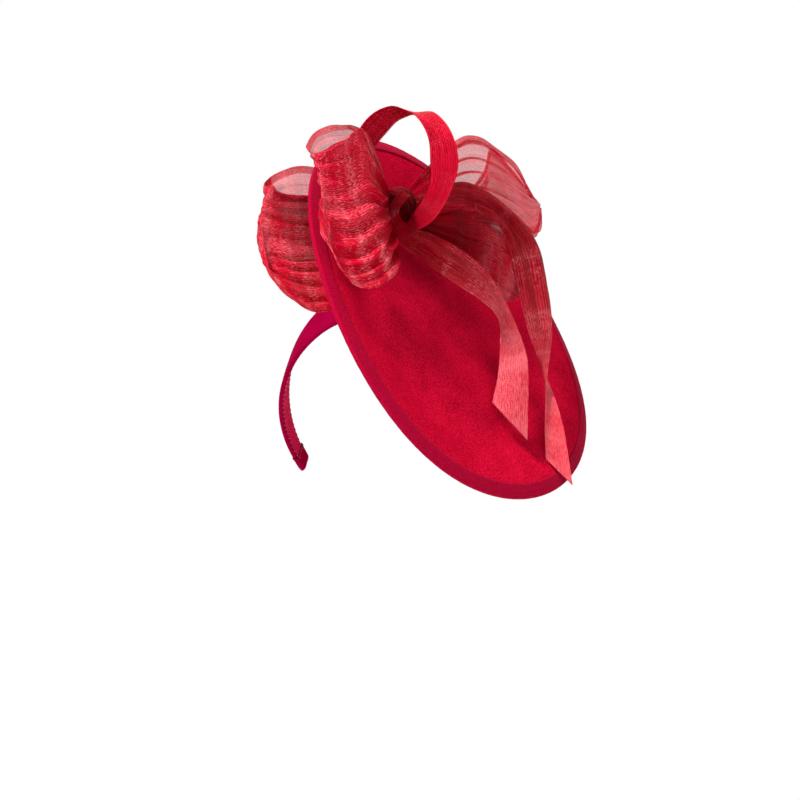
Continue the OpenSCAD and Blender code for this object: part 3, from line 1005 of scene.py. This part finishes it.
def silk_piece(
    name, node, path, bulge, pleats, cloth_w, material, seed,
    hem=4.5, dense=None, lines=(), puff=None, rests_on="bow_base",
):
    """A gathered strip of silk along a path of edge pairs: bulge, cloth_w and hem in millimetres.

    dense: from one share of its length to another, the silk is doubled and closes up.
    """
    points, u, w = strip_surface(path, bulge)
    if puff:
        points = pushed(points, u, w, puff)
    widths = np.linalg.norm(points[:, -1] - points[:, 0], axis=1)
    high = gathers(u, w, widths, cloth_w, pleats, seed) + creases(u, w, lines)
    high += ripple(len(u), len(w), 14, 7, seed + 11) / 6
    high += ripple(len(u), len(w), 28, 14, seed + 111) / 12
    high += 0.7 * ripple(len(u), len(w), 18, 2, seed + 17)
    high *= calm_at_bends(points[:, len(w) // 2])[:, None]
    points = points + surface_normals(points) * high[..., None]
    if hem:
        points, w = add_hems(points, w, hem)
    uvs, run = strip_uvs(points, w, cloth_w)
    piece = mesh_object(name, place(IN_PLATE, points), grid_faces(*points.shape[:2]), material, uvs)
    if dense:
        piece.data.materials.append(SILK_DENSE)
        per_row = points.shape[1] - 1
        first, last = (int(share * (len(u) - 1)) * per_row for share in dense)
        for face in piece.data.polygons[first:last]:
            face.material_index = 1
    finish_piece(piece, "silk", node)


def folded_strip(name, node, path, bulge, cloth_w, material, seed, slot="silk", channel=0.0):
    """A strip folded double along its length: two layers that meet in a soft fold on one edge.

    channel: depth of the long hollow down its middle, which fades out by three quarters of the way.
    """
    layer_gap = 0.55
    points, u, w = strip_surface(path, bulge, cells=22)
    rows, cols = len(u), len(w)
    out = surface_normals(points)
    wave = 0.22 * ripple(rows, cols, 22, 4, seed) + 0.12 * ripple(rows, cols, 50, 3, seed + 3)
    groove = channel * np.sin(np.pi * np.clip(u / 0.75, 0, 1))[:, None]
    groove = groove * np.exp(-(((w[None] - 0.5) / 0.16) ** 2))
    points = points + out * (wave - groove)[..., None]
    lift = layer_gap * np.sqrt(np.clip(1 - (1 - w * 3.0).clip(0, 1) ** 2, 0, 1))
    lift = lift * (1 + 0.25 * ripple(rows, cols, 18, 2, seed + 7))
    top = points + out * lift[..., None]
    low = points - out * lift[..., None]
    columns = np.concatenate([low[:, ::-1], top[:, 1:]], axis=1)
    uvs, run = strip_uvs(columns, np.concatenate([-w[::-1], w[1:]]), cloth_w)
    faces = grid_faces(*columns.shape[:2])
    piece = mesh_object(name, place(IN_PLATE, columns), faces, material, uvs)
    finish_piece(piece, slot, node)


# Each path is a list of edge pairs in the plate's frame, in millimetres. They are the CAD model's,
# but for the flap's last two pairs, which carry it a little further down.

LOOP_FRONT = [
    [[-93, 1, 31], [-74, -18, 23]],
    [[-118, -4, 45], [-64, -44, 25]],
    [[-136, -10, 53], [-65, -60, 23]],
    [[-142, -26, 50], [-73, -74, 17]],
    [[-147, -37, 45], [-86, -81, 14]],
    [[-151, -44, 39], [-103, -81, 18]],
    [[-153, -38, 33], [-119, -72, 19]],
    [[-153, -25, 28], [-123, -59, 19]],
    [[-151, -11, 30], [-118, -47, 20]],
    [[-142, 4, 35], [-107, -35, 21]],
    [[-131, 14, 38], [-94, -23, 22]],
    [[-116, 16, 37], [-85, -13, 23]],
    [[-91, 8, 28], [-75, -9, 21]],
]
LOOP_REAR = [
    [[-82, 14, -7], [-74, 6, -9]],
    [[-108, 4, -6], [-57, -30, -24]],
    [[-122, -9, -8], [-66, -47, -33]],
    [[-134, -21, -10], [-80, -58, -35]],
    [[-144, -26, -11], [-102, -59, -36]],
    [[-143, -15, -19], [-108, -45, -42]],
    [[-140, 1, -21], [-94, -34, -48]],
    [[-134, 14, -18], [-76, -30, -51]],
    [[-125, 24, -12], [-58, -23, -48]],
    [[-107, 29, -7], [-56, -11, -33]],
    [[-80, 22, -9], [-70, 14, -14]],
]
LOOP_FAN = [
    [[-76, 16, 28], [-68, 12, 25]],
    [[-73, 40, 40], [-49, 34, 30]],
    [[-68, 64, 55], [-33, 52, 35]],
    [[-59, 78, 59], [-16, 64, 39]],
    [[-43, 87, 59], [5, 74, 41]],
    [[-21, 94, 58], [24, 84, 38]],
    [[2, 94, 50], [19, 97, 45]],
    [[-3, 102, 48], [28, 97, 36]],
    [[-22, 109, 47], [19, 94, 27]],
    [[-35, 105, 47], [5, 85, 24]],
    [[-31, 88, 41], [-9, 74, 23]],
    [[-38, 64, 33], [-26, 61, 24]],
    [[-70, 31, 19], [-61, 25, 18]],
    [[-76, 15, 19], [-69, 12, 17]],
]
FLAP_LOW = [
    [[-72, 13, 25], [-66, 6, 20]],
    [[-67, 17, 25], [-56, 8, 18]],
    [[-53, 24, 29], [-39, 14, 19]],
    [[-34, 44, 36], [-10, 22, 16]],
    [[-11, 64, 40], [17, 33, 14]],
    [[12, 63, 40], [27, 34, 16]],
    [[31, 46, 28], [33, 37, 22]],
]
RIBBON_RING = [
    [[-79, 11, 17], [-72, 14, 17]],
    [[-106, 28, 17], [-96, 35, 18]],
    [[-119, 33, 25], [-103, 39, 22]],
    [[-124, 34, 38], [-106, 42, 34]],
    [[-123, 32, 54], [-109, 41, 47]],
    [[-117, 24, 65], [-107, 39, 59]],
    [[-109, 16, 71], [-103, 32, 73]],
    [[-100, 8, 71], [-92, 21, 79]],
    [[-91, 1, 66], [-79, 7, 77]],
    [[-81, -4, 58], [-70, -3, 67]],
    [[-73, -5, 43], [-62, -8, 48]],
    [[-68, 1, 27], [-60, -6, 31]],
    [[-66, 8, 14], [-61, 2, 16]],
]
TAIL_FRONT = [
    [[-86, 0, 37], [-79, 1, 39]],
    [[-86, -20, 30], [-80, -15, 34]],
    [[-73, -26, 26], [-67, -14, 33]],
    [[-50, -22, 26], [-53, -5, 35]],
    [[-25, -16, 27], [-31, 2, 38]],
    [[-1, -11, 30], [-7, 9, 36]],
    [[16, -9, 29], [15, 6, 33]],
    [[30, -15, 20], [40, -5, 28]],
    [[39, -30, 13], [53, -20, 24]],
    [[45, -46, 6], [76, -53, 9]],
]
TAIL_SIDE = [
    [[-74, 8, 38], [-66, 8, 36]],
    [[-57, 34, 50], [-46, 31, 42]],
    [[-44, 45, 53], [-30, 40, 44]],
    [[-23, 53, 54], [-17, 44, 46]],
    [[1, 59, 52], [0, 47, 41]],
    [[24, 60, 46], [15, 48, 33]],
    [[48, 47, 35], [33, 34, 26]],
    [[60, 30, 30], [51, 25, 19]],
    [[65, 13, 27], [62, 16, 18]],
    [[69, -3, 24], [73, 7, 16]],
    [[75, -15, 19], [82, -7, 18]],
    [[86, -31, 11], [96, -28, 18]],
    [[97, -46, 5], [116, -59, 13]],
]


def make_loops():
    knot_creases = [
        (0.02, 0.42, 0.24, 0.36, 2.8, 0.034),
        (0.03, 0.50, 0.42, 0.55, 3.2, 0.030),
        (0.05, 0.60, 0.46, 0.79, 3.4, 0.030),
        (0.05, 0.72, 0.44, 0.92, 2.8, 0.026),
        (0.04, 0.85, 0.34, 0.93, 2.0, 0.024),
    ]
    front_look = {"dense": (0.0, 0.52), "lines": knot_creases}
    rear_look = {"dense": (0.0, 0.60), "puff": (0.45, 0.14, (-7.5, 0, -10)), "rests_on": "rear_anchor"}
    silk_piece("silk_loop_front", "loop_front", LOOP_FRONT, 6, 6, 92, SILK, 41, **front_look)
    silk_piece("silk_loop_rear", "loop_rear", LOOP_REAR, 9, 8, 92, SILK, 43, **rear_look)
    silk_piece("silk_loop_fan", "loop_fan", LOOP_FAN, 3, 7, 64, FAN_SILK, 47)
    silk_piece("silk_flap", "flap_low", FLAP_LOW, 3, 4, 40, FLAP_SILK, 53, hem=0)
    folded_strip("silk_ring", "ribbon_ring", RIBBON_RING, 0, 15, RING_SILK, 61, slot="ribbon")
    folded_strip("silk_tail_front", "tail_front", TAIL_FRONT, 2, 22, FRONT_SILK, 67, channel=4.5)
    folded_strip("silk_tail_side", "tail_side", TAIL_SIDE, 2, 17, SIDE_SILK, 71, channel=4.0)


def make_knot():
    """The wrapped knot: a ball of silk drawn into pleats that run over it towards the plate."""
    rows, cols = 90, 160
    ball_r, flatten = 11.4, 0.94
    polar = np.linspace(0.03, np.pi - 0.03, rows)[:, None]
    turn = full_turn(cols)[None]
    rng = random.Random(5)
    pleat = 0
    for n in (5, 8, 11, 15):
        deep = rng.uniform(0.3, 0.9)
        sway = 2.2 * np.sin(polar * rng.uniform(0.8, 1.6))
        pleat = pleat + deep * np.cos(n * turn + sway + rng.uniform(0, 6))
    radius = ball_r + 0.6 * pleat * np.sin(polar) ** 0.7
    level = radius * np.sin(polar)
    tall = flatten * radius * np.cos(polar)
    points = np.stack([level * np.cos(turn), level * np.sin(turn), tall], axis=-1)
    lean = Matrix.Rotation(math.radians(62), 3, "Y") @ Matrix.Rotation(math.radians(25), 3, "X")
    verts = points @ np.array(lean).T + KNOT_AT - (0, 0, 1)
    uvs = np.stack(np.broadcast_arrays(polar * 14, turn * 9), axis=-1)
    faces = capped_faces(rows, cols, inward=True)
    # The knot takes the dark copy of the silk, which paints the shade among the loops.
    knot = mesh_object("knot_wrap", place(IN_PLATE, verts), faces, SILK_SHADED, uvs)
    finish_piece(knot, "silk", "bow_knot")


def dome(name, centre, radius, low, high, waist, pleats, seed):
    """A soft round piece on the plate, or under it: its side waisted and lightly pleated.

    low: height of its foot over the felt's near face. high: height of its top in the plate's frame.
    """
    rows, cols = 26, 96
    up = 1 if high > 0 else -1
    turn = full_turn(cols)
    rng = np.random.RandomState(seed)
    lobes = 0.35 * np.cos(pleats * turn + rng.uniform(0, 6)) + 0.2 * np.cos((pleats * 2 + 1) * turn)
    rings = []
    for share in np.linspace(0, 1, rows):
        r = radius * (1 - waist * math.sin(math.pi * share) - 0.10 * share) + lobes * (0.4 + 0.6 * share)
        x, y = centre[0] + r * np.cos(turn), centre[1] + r * np.sin(turn)
        rho = np.hypot(x, y)
        ground = felt_top(rho) + warp(rho, np.arctan2(y, x)) - (0 if up > 0 else FELT_T)
        z = (ground + low) * (1 - share) + high * share
        rings.append(np.stack([x, y, z], axis=-1))
    last = rings[-1]
    for share in (0.97, 0.85, 0.6, 0.3, 0.05):
        middle = last.mean(0)
        ring = middle + (last - middle) * share
        ring[:, 2] = high + up * 0.9 * (1 - share * share)
        rings.append(ring)
    faces = capped_faces(len(rings), cols, inward=True)
    return mesh_object(name, place(IN_PLATE, np.array(rings)), faces, PAD_FELT)


def make_base_and_anchor():
    base = dome("base_felt", KNOT_AT[:2], 14.6, -0.2, 15.2, 0.10, 9, 3)
    anchor = dome("anchor_felt", ANCHOR_AT, 8.8, 0.2, -7.6, -0.04, 11, 4)
    for piece, node, fill in ((base, "bow_base", 0.7), (anchor, "rear_anchor", 0.5)):
        finish_piece(piece, "felt", node)


def finish_cad_nodes():
    for name in ("band_core_crown", "band_core_right", "band_core_left"):
        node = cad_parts[name]
        node.data.materials.clear()
        node.data.materials.append(CORE)


make_camera()
make_stage()
make_plate()
make_binding()
make_binding_stitches()
make_wire()
make_band()
make_cap("right")
make_cap("left")
make_pad()
make_tacks()
make_loops()
make_knot()
make_base_and_anchor()
finish_cad_nodes()
